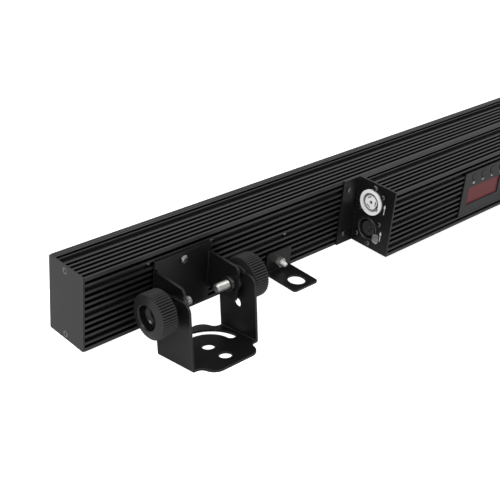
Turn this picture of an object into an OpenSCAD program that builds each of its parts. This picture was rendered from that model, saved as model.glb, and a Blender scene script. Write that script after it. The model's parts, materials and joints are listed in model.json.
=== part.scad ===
// LED strip batten: a finned aluminium bar of light on two swivelling floor yokes, with its
// driver box on the back. +X runs along the bar, +Y is the way the light shines, +Z is up.
// The yokes stand on the plane z = 0, and the bar is tipped up by bar_tilt about their pivots.

/* [Bar] */
// Overall length, over the end plates
bar_length = 1070; // [1040:5:1100]
// Depth of the aluminium profile, from its finned back to the light side
profile_depth = 43.3; // [42:0.1:45]
// Height of the aluminium profile
profile_height = 65; // [64:0.5:68]
// How far the light side is tipped up at rest, in degrees
bar_tilt = 9; // [0:1:15]
// Number of light cells along the bar
cell_count = 15; // [12:1:15]

/* [Cooling fins] */
// Depth of the grooves between the fins
fin_depth = 3; // [2:0.5:3]
// Thickness of the wall behind the fins
wall = 2.5; // [2:0.5:3]
// Width of one fin's tip
fin_w = 2; // [1.6:0.1:2.2]
// Spacing of the fins on the back
fin_pitch = 5.25; // [5:0.05:5.3]
// Spacing of the fins on either side of a screw groove
wide_pitch = 6.5; // [6.2:0.1:6.6]

/* [Driver box] */
// Length of the box, over its connector plates
box_length = 466; // [440:2:480]
// Thickness of the connector plates and end plates
plate_t = 1.5; // [1:0.5:2]

/* [Yokes] */
// Distance from the bar's end to the middle of each yoke
yoke_inset = 94; // [90:1:100]
// Height of the pivots above the floor
pivot_height = 48.5; // [46:0.5:56]
// Distance of the pivots behind the bar's back
pivot_out = 29.4; // [28:0.2:32]
// Width over a yoke's arms
yoke_w = 69; // [68:0.5:72]
// Depth of a yoke's base, front to back
yoke_depth = 69.6; // [67:0.2:74]
// Thickness of the folded steel sheet
sheet_t = 2; // [1.5:0.5:2]

/* [Knobs] */
// Diameter over the knurling
knob_d = 37.4; // [35:0.2:39]
// Thickness of a knob, over its domed face
knob_t = 16; // [14:0.2:18]
// Number of ridges in the knurling
knob_ridges = 52; // [40:4:56]
// How far the outer left knob stands unscrewed at rest
loose_gap = 5.4; // [0:0.1:6]

/* [Hidden] */
$fn = 48;
e = 0.01;                                  // overlap that joins the pieces of one solid
half_h = profile_height / 2;
half_len = bar_length / 2;
half_box = box_length / 2;
screw_line = wide_pitch + 3 * fin_pitch;   // height of the outer screw grooves
yoke_x = half_len - yoke_inset;
cavity_h = profile_height - 2 * (fin_depth + wall);
cavity_y = fin_depth + wall;
port_y = 22.75;                            // end screw ports, from the finned back
port_z = half_h - 4.5;
port_r = 1.3;
port_half = 2.4;
outer_fin = wide_pitch * 1.5 + 3 * fin_pitch;
corner_land = 3.3;
first_top_fin = 5.5;
top_pitch = 5;
front_band = 37;                           // plain band beside the light side, with two fine lines
front_lines = [39, 41.3];
pivot_y = (yoke_depth / 2 - (profile_depth + pivot_out) * cos(bar_tilt) - half_h * sin(bar_tilt)) / 2;
// bracket and yoke
bracket_half = 28.7;
arm_in = yoke_w / 2 - sheet_t;
arm_half = 21;
arm_top = 9;
bolt_r = 4;
bolt_clear = 0.08;
run_gap = 0.05;
washer_t = 2.3;
bolt_reach = 26.5;
nut_r = 6.6;
nut_len = 4.5;
knob_x = yoke_w / 2 + run_gap + washer_t;
knurl_depth = 1;
dome = 1.8;                                // how far a knob's conical face rises past its ridges
recess_depth = 8.6;
recess_r = 10;
collar_r = 6;
// front of the bar
slot_y = 38.7;
slot_w = 2.3;
cell_pitch = (bar_length - 20) / cell_count;
lens_r = 19;
// driver box
window_mid = -91.5;
panel_mid = -91;
panel_w = 72;
panel_h = 45.7;
panel_z = -0.45;
panel_t = 1.2;
button_pitch = 14.9;
button_mid = -89.4;
button_z = 16.2;
button_r = 3.5;
button_stand = 0.3;
window_w = 51.9;
window_h = 18.6;
window_z = -3.9;
connector_y = 18.1;
power_z = 13;
dmx_z = -14;
power_r = 12.1;
dmx_r = 11.5;
screw_dy = 12;
screw_dz = 9.3;
led_cable_x = 170;
fold_screw_x = half_box + 13.5;
bracket_screw_z = [-20, 17.8];
board_screw_r = 1.3;                       // tapping hole of the small screws
blade_turns = [90, 210, 330];
blade_r = 5;                               // distance of the power blades from the middle
socket_turns = [30, 90, 150];
socket_r = 3.6;                            // distance of the signal contacts from the middle

// ---------- frames and small helpers ----------

// Places its children on the bar: y = 0 is the finned back, z = 0 is half way up
module on_bar() {
    translate([0, pivot_y, pivot_height])
        rotate([bar_tilt, 0, 0])
            translate([0, pivot_out, 0])
                children();
}

// Places its children at a yoke's pivot, upright; side is -1 for the left yoke, 1 for the right
module at_pivot(side) {
    translate([side * yoke_x, pivot_y, pivot_height])
        children();
}

module x_rod(r, x0, x1) {
    translate([min(x0, x1), 0, 0])
        rotate([0, 90, 0])
            cylinder(r = r, h = abs(x1 - x0));
}

module y_rod(r, y0, y1) {
    translate([0, max(y0, y1), 0])
        rotate([90, 0, 0])
            cylinder(r = r, h = abs(y1 - y0));
}

// Flat outline with rounded corners, centred
module round_rect(w, h, r) {
    square([w - 2 * r, h], center = true);
    square([w, h - 2 * r], center = true);
    for (sx = [-1, 1], sy = [-1, 1])
        translate([sx * (w / 2 - r), sy * (h / 2 - r)])
            circle(r);
}

// Fills a square inside corner at the origin, opening towards +x and +y, with a round fillet
module fillet(r) {
    difference() {
        translate([-e, -e])
            square(r + e);
        translate([r, r])
            circle(r);
    }
}

// Cross-recessed pan head screw: its head stands on the plane y = 0 towards -y
module pan_screw(head_r, head_h, shank_r, shank_len) {
    difference() {
        rotate([90, 0, 0])
            rotate_extrude()
                polygon([
                    [0, -shank_len],
                    [shank_r, -shank_len],
                    [shank_r, 0],
                    [head_r, 0],
                    [head_r, head_h * 0.45],
                    [head_r * 0.85, head_h * 0.8],
                    [head_r * 0.5, head_h],
                    [0, head_h]
                ]);
        translate([0, -head_h, 0])
            cross_recess(head_r * 1.1, head_h, head_r * 0.24);
    }
}

module cross_recess(length, depth, width) {
    cube([length, depth, width], center = true);
    cube([width, depth, length], center = true);
}

// ---------- the finned profile, shared by the bar and the driver box ----------

// Tips of the fins above mid height on the back, and along the top, as [start, end]
back_fins = [
    for (z = [each [for (k = [0 : 3]) wide_pitch / 2 + k * fin_pitch], outer_fin])
        [z - fin_w / 2, z + fin_w / 2]
];
top_fins = [
    for (y = [for (k = [0 : 4]) first_top_fin + k * top_pitch]) [y - fin_w / 2, y + fin_w / 2],
    [33, 34]
];

// Points of a comb of fins: each fin rises from root to tip and falls back to the root
function comb(fins, tip, root) = [
    for (f = fins) each [[f[0], root], [f[0], tip], [f[1], tip], [f[1], root]]
];

function flipped(points) = [for (p = points) [p[1], p[0]]];

// Upper half of the outline, from mid height on the back round to the light side
upper_half = concat(
    flipped(comb(back_fins, 0, fin_depth)),
    [[fin_depth, half_h - corner_land], [0, half_h - corner_land], [0, half_h], [1.5, half_h]],
    [[1.5, half_h - fin_depth]],
    comb(top_fins, half_h, half_h - fin_depth),
    [[front_band, half_h - fin_depth], [front_band, half_h]],
    comb([for (y = front_lines) [y - 0.25, y + 0.25]], half_h - 0.5, half_h),
    [[profile_depth, half_h], [profile_depth, cavity_h / 2]],
    [[slot_y + slot_w, cavity_h / 2], [slot_y + slot_w, cavity_h / 2 + 2]],
    [[slot_y, cavity_h / 2 + 2], [slot_y, cavity_h / 2]],
    [[port_y + port_half, cavity_h / 2], [port_y + port_half, port_z - port_half]],
    [[port_y - port_half, port_z - port_half], [port_y - port_half, cavity_h / 2]],
    [[cavity_y, cavity_h / 2]]
);

module fin_profile() {
    count = len(upper_half);
    polygon(concat(
        upper_half,
        [for (k = [1 : count]) [upper_half[count - k][0], -upper_half[count - k][1]]]
    ));
}

// Length of profile, with the end screw ports bored through its thickened walls
module profile_bar(length) {
    difference() {
        rotate([90, 0, 90])
            linear_extrude(length, center = true)
                fin_profile();
        for (s = [-1, 1])
            translate([0, port_y, s * port_z])
                x_rod(port_r, -length, length);
    }
}

// ---------- the bar ----------

board_screw_spots = [
    for (side = [-1, 1], spot = [[472.5, 1], [409, 1], [472.5, -1], [409, -1], [322, 0]])
        [side * spot[0], spot[1] * screw_line]
];

module bar_housing() {
    color([0.25, 0.25, 0.26])
        on_bar()
            difference() {
                profile_bar(bar_length - 2 * plate_t);
                for (p = board_screw_spots)
                    translate([p[0], 0, p[1]])
                        y_rod(board_screw_r, fin_depth - 1, cavity_y + 1);
                for (side = [-1, 1], z = bracket_screw_z)
                    translate([side * yoke_x, 0, z])
                        y_rod(2, -1, cavity_y + 1);
                for (side = [-1, 1])
                    translate([side * eyelet_x, 0, eyelet_stud_z])
                        y_rod(2.5, -1, cavity_y + 1);
                for (side = [-1, 1], z = [-screw_line, screw_line])
                    translate([side * fold_screw_x, 0, z])
                        y_rod(board_screw_r, -1, cavity_y + 1);
                translate([led_cable_x, 0, 0])
                    y_rod(6, -1, cavity_y + 1);
            }
}

module end_plate(side) {
    color([0.28, 0.28, 0.29])
        on_bar()
            translate([side * (half_len - plate_t / 2), profile_depth / 2, 0])
                difference() {
                    rotate([90, 0, 90])
                        linear_extrude(plate_t, center = true)
                            round_rect(profile_depth, profile_height, 0.8);
                    for (s = [-1, 1])
                        translate([-side * plate_t / 2, port_y - profile_depth / 2, s * port_z])
                            countersunk(side, 0.05);
                }
}

// Countersunk screw body whose flat head ends plate_t along the given side; grow adds clearance
module countersunk(side, grow) {
    rotate([0, side * 90, 0])
        union() {
            translate([0, 0, -9])
                cylinder(r = 1.25 + grow, h = 9 + e);
            rotate_extrude()
                polygon([
                    [0, -e],
                    [1.25 + grow, -e],
                    [2.75 + grow, plate_t - 0.1],
                    [2.75 + grow, plate_t + grow],
                    [0, plate_t + grow]
                ]);
        }
}

module end_plate_left() {
    end_plate(-1);
}

module end_plate_right() {
    end_plate(1);
}

module end_plate_screws() {
    color([0.55, 0.55, 0.56])
        on_bar()
            for (side = [-1, 1], s = [-1, 1])
                translate([side * (half_len - plate_t), port_y, s * port_z])
                    difference() {
                        countersunk(side, 0);
                        for (turn = [0, 90])
                            rotate([turn, 0, 0])
                                translate([side * plate_t, 0, 0])
                                    cube([1.4, 3.4, 0.7], center = true);
                    }
}

// Clear sheet that slides into the slots behind the front lips
module front_window() {
    color([0.85, 0.9, 0.95, 0.5])
        on_bar()
            translate([0, slot_y + slot_w / 2, 0])
                cube([bar_length - 2 * plate_t - 1, 2, cavity_h + 3.6], center = true);
}

cell_spots = [for (k = [0 : cell_count - 1]) (k - (cell_count - 1) / 2) * cell_pitch];

// Black channel that holds the lenses: its lips stand on the back wall of the bar
module lens_frame() {
    color([0.07, 0.07, 0.07])
        on_bar()
            difference() {
                translate([0, (cavity_y + 0.1 + 36) / 2, 0])
                    cube([bar_length - 2 * plate_t - 2, 36 - cavity_y - 0.1, 50.6], center = true);
                translate([0, (cavity_y + 33) / 2, 0])
                    cube([bar_length, 33 - cavity_y, 47.6], center = true);
                for (x = cell_spots)
                    translate([x, 0, 0])
                        y_rod(lens_r + 0.1, 30, 40);
            }
}

// Collimator lenses, one over each emitter
module lenses() {
    color([0.9, 0.93, 0.96, 0.6])
        on_bar()
            for (x = cell_spots)
                translate([x, 0, 0])
                    rotate([-90, 0, 0])
                        rotate_extrude()
                            polygon([
                                [0, 14],
                                [4.6, 12],
                                [5, 9.2],
                                [6.5, 9.2],
                                [12, 18],
                                [lens_r - 1, 32.8],
                                [lens_r, 33],
                                [lens_r, 35.5],
                                [0, 35.5]
                            ]);
}

module led_boards() {
    color([0.85, 0.85, 0.82])
        on_bar()
            for (k = [-1 : 1])
                difference() {
                    translate([k * 350, cavity_y + 0.8, 0])
                        cube([348, 1.6, 47], center = true);
                    for (p = board_screw_spots)
                        translate([p[0], 0, p[1]])
                            y_rod(board_screw_r, 0, 20);
                    translate([led_cable_x, 0, 0])
                        y_rod(3, 0, 20);
                }
}

module led_emitters() {
    color([0.95, 0.9, 0.5])
        on_bar()
            for (x = cell_spots)
                translate([x, cavity_y + 1.6, 0]) {
                    translate([0, 0.6, 0])
                        cube([7, 1.2, 7], center = true);
                    rotate([-90, 0, 0])
                        translate([0, 0, 1.1])
                            cylinder(r1 = 2.6, r2 = 1.8, h = 1.2);
                }
}

module board_screws() {
    color([0.75, 0.75, 0.75])
        on_bar()
            for (p = board_screw_spots)
                translate([p[0], fin_depth, p[1]])
                    pan_screw(1.9, 1.4, 1.25, 6);
}

// ---------- brackets on the bar, and the yokes they carry ----------

bracket_z0 = -28.1;
bracket_z1 = 24.3;
flange_half = 16.2;
flange_out = 36.4;
ear_corner = 5;
bend_in = 0.8;                             // inside radius of the folds

// Folded steel bracket: a web on the bar's back and two ears that carry the pivot bolts
module bracket(side) {
    color([0.1, 0.1, 0.1])
        on_bar()
            translate([side * yoke_x, 0, 0])
                difference() {
                    union() {
                        translate([-bracket_half, -sheet_t, bracket_z0])
                            cube([2 * bracket_half, sheet_t, bracket_z1 - bracket_z0]);
                        for (s = [-1, 1]) {
                            bracket_ear(s);
                            translate([s * (bracket_half - sheet_t), -sheet_t, -flange_half])
                                mirror([s > 0 ? 1 : 0, 0, 0])
                                    mirror([0, 1, 0])
                                        linear_extrude(2 * flange_half)
                                            fillet(bend_in);
                        }
                    }
                    translate([0, -pivot_out, 0])
                        x_rod(bolt_r + bolt_clear, -40, 40);
                    for (z = bracket_screw_z)
                        translate([0, 0, z])
                            y_rod(2.1, -5, 5);
                    for (s = [-1, 1], z = [-flange_half - 0.8, flange_half + 0.8])
                        translate([s * bracket_half, -1, z])
                            cube([5, 8, 1.6], center = true);
                }
}

module bracket_ear(s) {
    ear_mid = s * (bracket_half - sheet_t / 2);
    translate([ear_mid, -flange_out / 2, 0])
        rotate([90, 0, 90])
            linear_extrude(sheet_t, center = true) {
                round_rect(flange_out, 2 * flange_half, ear_corner);
                translate([flange_out / 4, 0])
                    square([flange_out / 2, 2 * flange_half], center = true);
            }
}

module bracket_left() {
    bracket(-1);
}

module bracket_right() {
    bracket(1);
}

module bracket_screws() {
    color([0.75, 0.75, 0.75])
        on_bar()
            for (side = [-1, 1], z = bracket_screw_z)
                translate([side * yoke_x, -sheet_t, z])
                    pan_screw(3.7, 2.4, 1.95, 7);
}

// Round nuts welded inside the bracket's ears
module bracket_nuts() {
    color([0.12, 0.12, 0.12])
        on_bar()
            for (side = [-1, 1], s = [-1, 1])
                translate([side * yoke_x, -pivot_out, 0])
                    difference() {
                        x_rod(nut_r, s * (bracket_half - sheet_t), s * (bracket_half - sheet_t - nut_len));
                        x_rod(bolt_r + run_gap, -40, 40);
                    }
}

// Friction discs that fill the gap between the ears and the yoke's arms
module yoke_spacers() {
    color([0.06, 0.06, 0.06])
        for (side = [-1, 1], s = [-1, 1])
            at_pivot(side)
                difference() {
                    x_rod(8, s * (bracket_half + 0.02), s * (arm_in - run_gap));
                    x_rod(bolt_r + bolt_clear, -40, 40);
                }
}

stop_hole_r = 4.1;
stop_hole_drop = 19.4;
base_hole_r = 5.4;
slot_mean_r = 24.5;
slot_half_w = 4;
lobe_half = 25;
lobe_r = 10;
notch_r = 6;

// Outline of the yoke's foot: the strip between the arms, and a rounded lobe in front and behind
module foot_outline() {
    square([yoke_w - sheet_t, 2 * arm_half], center = true);
    round_rect(2 * lobe_half, yoke_depth, lobe_r);
    for (sx = [-1, 1], sy = [-1, 1])
        translate([sx * lobe_half, sy * arm_half])
            scale_to(sx, sy)
                fillet(notch_r);
}

// Turns a shape drawn towards +x +y towards the given signs instead
module scale_to(sx, sy) {
    mirror([sx < 0 ? 1 : 0, 0])
        mirror([0, sy < 0 ? 1 : 0])
            children();
}

module foot_holes() {
    circle(base_hole_r);
    translate([0, -20])
        circle(base_hole_r);
}

// Folded steel yoke: a foot with a curved adjusting slot, and two arms up to the pivot
module yoke(side) {
    color([0.13, 0.13, 0.13])
        at_pivot(side)
            difference() {
                union() {
                    translate([0, 0, -pivot_height])
                        linear_extrude(sheet_t)
                            foot_outline();
                    for (s = [-1, 1]) {
                        yoke_arm(s);
                        translate([s * arm_in, 0, sheet_t - pivot_height])
                            rotate([90, 0, 0])
                                linear_extrude(2 * arm_half, center = true)
                                    mirror([s > 0 ? 1 : 0, 0])
                                        fillet(bend_in);
                    }
                }
                translate([0, 0, -pivot_height - 1])
                    linear_extrude(sheet_t + 2)
                        foot_holes();
                translate([0, 0, -pivot_height - 1])
                    rotate_extrude(angle = 180)
                        translate([slot_mean_r - slot_half_w, 0])
                            square([2 * slot_half_w, sheet_t + 2]);
                for (s = [-1, 1]) {
                    translate([s * slot_mean_r, 0, -pivot_height - 1])
                        cylinder(r = slot_half_w, h = sheet_t + 2);
                    bend_edge(s);
                }
                x_rod(bolt_r + bolt_clear, -60, 60);
                translate([0, 0, -stop_hole_drop])
                    x_rod(stop_hole_r, 0, -side * yoke_w);
            }
}

module yoke_arm(s) {
    arm_h = pivot_height + arm_top;
    translate([s * (yoke_w - sheet_t) / 2, 0, arm_top - arm_h / 2])
        rotate([90, 0, 90])
            linear_extrude(sheet_t, center = true) {
                round_rect(2 * arm_half, arm_h, 8);
                translate([0, -arm_h / 4])
                    square([2 * arm_half, arm_h / 2], center = true);
            }
}

// Rounds the outside of the fold between an arm and the foot
module bend_edge(s) {
    r = 2;
    translate([s * yoke_w / 2, 0, -pivot_height])
        rotate([90, 0, 0])
            linear_extrude(4 * arm_half, center = true)
                mirror([s > 0 ? 1 : 0, 0])
                    fillet(r);
}

module yoke_left() {
    yoke(-1);
}

module yoke_right() {
    yoke(1);
}

// ---------- clamping knobs: each screws into a bracket nut through the yoke's arm ----------

// Draws along +x outwards from the pivot; out is -1 or 1 and gap is how far it is unscrewed
module knob_place(side, out, gap) {
    at_pivot(side)
        mirror([out < 0 ? 1 : 0, 0, 0])
            translate([gap, 0, 0])
                children();
}

// Round disc with V-shaped grooves all round
module knurled_disc() {
    r = knob_d / 2;
    polygon([
        for (k = [0 : 2 * knob_ridges - 1])
            let (a = k * 180 / knob_ridges, rim = k % 2 == 0 ? r : r - knurl_depth)
                [rim * cos(a), rim * sin(a)]
    ]);
}

module knob(side, out, gap) {
    core = knob_d / 2 - knurl_depth - 0.3;
    color([0.16, 0.16, 0.16])
        knob_place(side, out, gap)
            translate([knob_x, 0, 0])
                rotate([0, 90, 0])
                    difference() {
                        union() {
                            translate([0, 0, 0.7])
                                linear_extrude(knob_t - dome - 1.2)
                                    knurled_disc();
                            rotate_extrude()
                                polygon([
                                    [0, 0],
                                    [core - 0.5, 0],
                                    [core, 0.5],
                                    [core, knob_t - dome],
                                    [recess_r + 0.8, knob_t],
                                    [0, knob_t]
                                ]);
                        }
                        translate([0, 0, -1])
                            cylinder(r = bolt_r + 0.02, h = knob_t + 2);
                        translate([0, 0, knob_t - recess_depth])
                            cylinder(r1 = collar_r + 0.2, r2 = recess_r, h = recess_depth + e);
                    }
}

// Steel stud of a knob: a collar in the recess, and the screw through arm, disc, ear and nut
module knob_bolt(side, out, gap) {
    color([0.8, 0.8, 0.8])
        knob_place(side, out, gap) {
            x_rod(bolt_r, knob_x - bolt_reach, knob_x + knob_t - recess_depth + 2);
            x_rod(collar_r, knob_x + knob_t - recess_depth, knob_x + knob_t - recess_depth + 1.8);
        }
}

module knob_washer(side, out, gap) {
    color([0.09, 0.09, 0.09])
        knob_place(side, out, gap)
            translate([knob_x - washer_t, 0, 0])
                difference() {
                    union() {
                        x_rod(12, 0, 1.6);
                        x_rod(9, 0, washer_t - 0.02);
                    }
                    x_rod(bolt_r + bolt_clear, -1, 10);
                }
}

module knob_left_outer() {
    knob(-1, -1, loose_gap);
}

module knob_left_inner() {
    knob(-1, 1, 0);
}

module knob_right_inner() {
    knob(1, -1, 0);
}

module knob_right_outer() {
    knob(1, 1, 0);
}

module bolt_left_outer() {
    knob_bolt(-1, -1, loose_gap);
}

module bolt_left_inner() {
    knob_bolt(-1, 1, 0);
}

module bolt_right_inner() {
    knob_bolt(1, -1, 0);
}

module bolt_right_outer() {
    knob_bolt(1, 1, 0);
}

module washer_left_outer() {
    knob_washer(-1, -1, loose_gap);
}

module washer_left_inner() {
    knob_washer(-1, 1, 0);
}

module washer_right_inner() {
    knob_washer(1, -1, 0);
}

module washer_right_outer() {
    knob_washer(1, 1, 0);
}

// ---------- safety eyelets ----------

eyelet_x = half_len - 204.5;
eyelet_w = 29;
eyelet_top = -11.5;
eyelet_low = -32;
eyelet_out = 37;
eyelet_hole_y = -24.5;
eyelet_hole_r = 7.75;
eyelet_stud_z = -22.5;

// Angle brackets with a hole for a safety cable
module safety_eyelets() {
    color([0.11, 0.11, 0.11])
        on_bar()
            for (side = [-1, 1])
                translate([side * eyelet_x, 0, 0])
                    difference() {
                        union() {
                            translate([0, -sheet_t / 2, (eyelet_top + eyelet_low) / 2])
                                rotate([90, 0, 0])
                                    linear_extrude(sheet_t, center = true) {
                                        round_rect(eyelet_w, eyelet_top - eyelet_low, 3);
                                        translate([0, -3])
                                            square([eyelet_w, eyelet_top - eyelet_low - 6], center = true);
                                    }
                            translate([0, -eyelet_out / 2, eyelet_low])
                                linear_extrude(sheet_t) {
                                    round_rect(eyelet_w, eyelet_out, 3);
                                    translate([0, 4])
                                        square([eyelet_w, eyelet_out - 8], center = true);
                                }
                        }
                        translate([0, eyelet_hole_y, eyelet_low - 1])
                            cylinder(r = eyelet_hole_r, h = 5);
                        translate([0, 0, eyelet_stud_z])
                            y_rod(2.6, -5, 5);
                    }
}

module eyelet_studs() {
    color([0.8, 0.8, 0.8])
        on_bar()
            for (side = [-1, 1])
                translate([side * eyelet_x, 0, eyelet_stud_z])
                    y_rod(2.45, -11, cavity_y - 0.5);
}

module eyelet_nuts() {
    color([0.8, 0.8, 0.8])
        on_bar()
            for (side = [-1, 1])
                translate([side * eyelet_x, -sheet_t, eyelet_stud_z])
                    difference() {
                        rotate([90, 0, 0])
                            cylinder(r = 4.6, h = 4, $fn = 6);
                        y_rod(2.5, -5, 1);
                    }
}

// ---------- driver box: the same profile turned round, shut by the bar's back ----------

module driver_box_housing() {
    color([0.25, 0.25, 0.26])
        on_bar()
            difference() {
                translate([0, -profile_depth, 0])
                    profile_bar(box_length - 2 * plate_t);
                translate([panel_mid, -profile_depth, panel_z])
                    cube([panel_w - 6, 20, panel_h - 4.6], center = true);
            }
}

plate_fold = 20.7;

// Folded plate that closes the box and holds its connectors; the fold is screwed to the bar
module connector_plate(side) {
    plate_x = side * (half_box - plate_t / 2);
    color([0.09, 0.09, 0.09])
        on_bar()
            difference() {
                union() {
                    translate([plate_x, -profile_depth / 2, 0])
                        cube([plate_t, profile_depth, profile_height], center = true);
                    translate([side * (half_box + plate_fold / 2 - plate_t / 2), -plate_t / 2, 0])
                        cube([plate_fold + plate_t, plate_t, profile_height], center = true);
                }
                for (s = [-1, 1]) {
                    translate([plate_x, port_y - profile_depth, s * port_z])
                        x_rod(1.5, -5, 5);
                    translate([side * fold_screw_x, 0, s * screw_line])
                        y_rod(1.5, -5, 5);
                }
                translate([plate_x, -connector_y, power_z])
                    x_rod(power_r + 0.1, -5, 5);
                translate([plate_x, -connector_y, dmx_z])
                    x_rod(dmx_r + 0.1, -5, 5);
                if (side < 0)
                    translate([plate_x, latch_y, latch_z])
                        cube([10, latch_w + 0.6, latch_h + 0.6], center = true);
                for (z = [power_z, dmx_z], s = [-1, 1])
                    translate([plate_x, -connector_y + s * screw_dy, z - s * screw_dz])
                        x_rod(1.5, -5, 5);
            }
}

module connector_plate_left() {
    connector_plate(-1);
}

module connector_plate_right() {
    connector_plate(1);
}

module plate_screws() {
    color([0.6, 0.6, 0.6])
        on_bar()
            for (side = [-1, 1], s = [-1, 1]) {
                translate([side * half_box, port_y - profile_depth, s * port_z])
                    rotate([0, 0, side * 90])
                        pan_screw(2.6, 1.7, 1.25, 9);
                translate([side * fold_screw_x, -plate_t, s * screw_line])
                    pan_screw(2.6, 1.7, 1.25, 6);
            }
}

// ---------- connectors; each is drawn facing -x from the plate's outer face at x = 0 ----------

module connector_place(side, z) {
    on_bar()
        translate([side * half_box, -connector_y, z])
            mirror([side > 0 ? 1 : 0, 0, 0])
                children();
}

module flange_screw_holes() {
    for (s = [-1, 1])
        translate([0, s * screw_dy, -s * screw_dz])
            x_rod(1.3, -5, 10);
}

// Round locking power connector: a shell through the plate, a ring-shaped well and a centre
// spigot with three contact slots, and a keyway at its lower back side
module power_connector(tint) {
    color(tint)
        difference() {
            union() {
                difference() {
                    x_rod(power_r, -1.6, 22);
                    x_rod(9, -2, 14);
                }
                x_rod(6.6, -0.7, 15);
                translate([plate_t + 1, 0, 0])
                    cube([2, 31, 23.6], center = true);
            }
            flange_screw_holes();
            x_rod(1.6, -2, 10);
            for (turn = blade_turns)
                rotate([turn, 0, 0])
                    translate([10, 0, blade_r])
                        cube([30, 4.8, 1], center = true);
            rotate([120, 0, 0])
                translate([4, 0, 8.2])
                    cube([16, 3.6, 3.8], center = true);
        }
}

module power_outlet() {
    connector_place(-1, power_z)
        power_connector([0.8, 0.8, 0.8]);
}

module power_inlet() {
    connector_place(1, power_z)
        power_connector([0.15, 0.3, 0.7]);
}

// Live, neutral and earth blades behind each power connector
module power_contacts() {
    color([0.85, 0.7, 0.4])
        for (side = [-1, 1])
            connector_place(side, power_z)
                for (turn = blade_turns)
                    rotate([turn, 0, 0])
                        translate([21, 0, blade_r])
                            cube([18, 4.6, 0.8], center = true);
}

latch_y = -connector_y - 10.8;
latch_z = dmx_z - 5.9;
latch_w = 7;
latch_h = 9.4;

// Three-pole signal connector shell with a mounting flange behind the plate
module dmx_shell(female) {
    difference() {
        union() {
            x_rod(dmx_r, -0.4, 20);
            translate([plate_t + 1, 0, 0])
                cube([2, 31, 22.6], center = true);
        }
        x_rod(9.5, -1, 15);
        flange_screw_holes();
        for (turn = socket_turns)
            rotate([turn, 0, 0])
                translate([0, 0, socket_r])
                    x_rod(1.3, 10, 25);
        if (female)
            translate([3, latch_y + connector_y, latch_z - dmx_z])
                cube([10, latch_w + 0.4, latch_h + 0.4], center = true);
    }
}

module dmx_outlet() {
    color([0.07, 0.07, 0.07])
        connector_place(-1, dmx_z)
            dmx_shell(true);
}

// Insulating core of the outlet, with its three sockets
module dmx_outlet_insert() {
    color([0.05, 0.05, 0.05])
        connector_place(-1, dmx_z)
            difference() {
                x_rod(7.2, 1.2, 14.9);
                for (turn = socket_turns)
                    rotate([turn, 0, 0])
                        translate([0, 0, socket_r])
                            x_rod(1.45, 0, 20);
            }
}

module dmx_inlet() {
    color([0.07, 0.07, 0.07])
        connector_place(1, dmx_z)
            dmx_shell(false);
}

// Socket sleeves of the outlet and pins of the inlet
module dmx_contacts() {
    color([0.85, 0.75, 0.45])
        for (turn = socket_turns) {
            connector_place(-1, dmx_z)
                rotate([turn, 0, 0])
                    translate([0, 0, socket_r]) {
                        difference() {
                            x_rod(1.4, 2, 14.8);
                            x_rod(0.9, 1, 10);
                        }
                        x_rod(1.2, 14.7, 24);
                    }
            connector_place(1, dmx_z)
                rotate([turn, 0, 0])
                    translate([0, 0, socket_r])
                        x_rod(1.2, 4, 24);
        }
}

// Sprung press-to-release tab of the outlet
module latch_button() {
    color([0.7, 0.7, 0.7])
        on_bar()
            translate([-half_box, latch_y, latch_z])
                difference() {
                    translate([0.6, 0, 0])
                        rotate([90, 0, 90])
                            linear_extrude(3.2, center = true)
                                round_rect(latch_w, latch_h, 3);
                    for (k = [-1 : 1])
                        translate([-1, 0, k * 2])
                            cube([0.6, latch_w + 1, 0.5], center = true);
                }
}

module connector_screws() {
    color([0.5, 0.5, 0.5])
        for (side = [-1, 1], z = [power_z, dmx_z], s = [-1, 1])
            connector_place(side, z)
                translate([0, s * screw_dy, -s * screw_dz])
                    rotate([0, 0, -90])
                        pan_screw(2.4, 1.4, 1.25, 6);
}

// ---------- control panel and display ----------

button_spots = [for (k = [-1.5 : 1 : 1.5]) button_mid + k * button_pitch];

module control_panel() {
    color([0.14, 0.14, 0.14])
        on_bar()
            translate([panel_mid, -profile_depth - panel_t / 2, panel_z])
                difference() {
                    rotate([90, 0, 0])
                        linear_extrude(panel_t, center = true)
                            round_rect(panel_w, panel_h, 1);
                    translate([window_mid - panel_mid, 0, window_z - panel_z])
                        cube([window_w, 5, window_h], center = true);
                    for (x = button_spots)
                        translate([x - panel_mid, 0, button_z - panel_z])
                            y_rod(button_r + 0.1, -5, 5);
                }
}

// Red filter over the digits, bonded behind the panel
module display_window() {
    color([0.5, 0.12, 0.14, 0.8])
        on_bar()
            translate([window_mid, -profile_depth + 0.52, window_z])
                cube([window_w + 3, 1, window_h + 3], center = true);
}

// Four-digit display
module display_module() {
    color([0.85, 0.85, 0.82])
        on_bar()
            translate([window_mid, -38.2, window_z])
                difference() {
                    cube([50.2, 7.6, 19], center = true);
                    for (digit = [-1.5 : 1 : 1.5])
                        translate([digit * 12.6, -3.8, 0])
                            digit_segments();
                }
}

// The seven bars of one digit, as shallow recesses
module digit_segments() {
    seg_l = 5.2;
    seg_w = 1.3;
    for (z = [-1, 0, 1])
        translate([0, 0, z * 6.2])
            cube([seg_l, 0.6, seg_w], center = true);
    for (sx = [-1, 1], sz = [-1, 1])
        translate([sx * 3.4, 0, sz * 3.1])
            cube([seg_w, 0.6, seg_l - 0.4], center = true);
}

// Button cap with the plunger that works its switch
module button_cap(k) {
    color([0.1, 0.1, 0.1])
        on_bar()
            translate([button_spots[k], 0, button_z]) {
                y_rod(button_r, -profile_depth - panel_t - button_stand, -profile_depth + 0.6);
                y_rod(1.7, -profile_depth, -38.2);
            }
}

module button_1() {
    button_cap(0);
}

module button_2() {
    button_cap(1);
}

module button_3() {
    button_cap(2);
}

module button_4() {
    button_cap(3);
}

module control_board() {
    color([0.05, 0.3, 0.12])
        on_bar()
            translate([panel_mid, -33.6, panel_z + 1])
                cube([panel_w - 7, 1.6, panel_h - 7.2], center = true);
}

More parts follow.
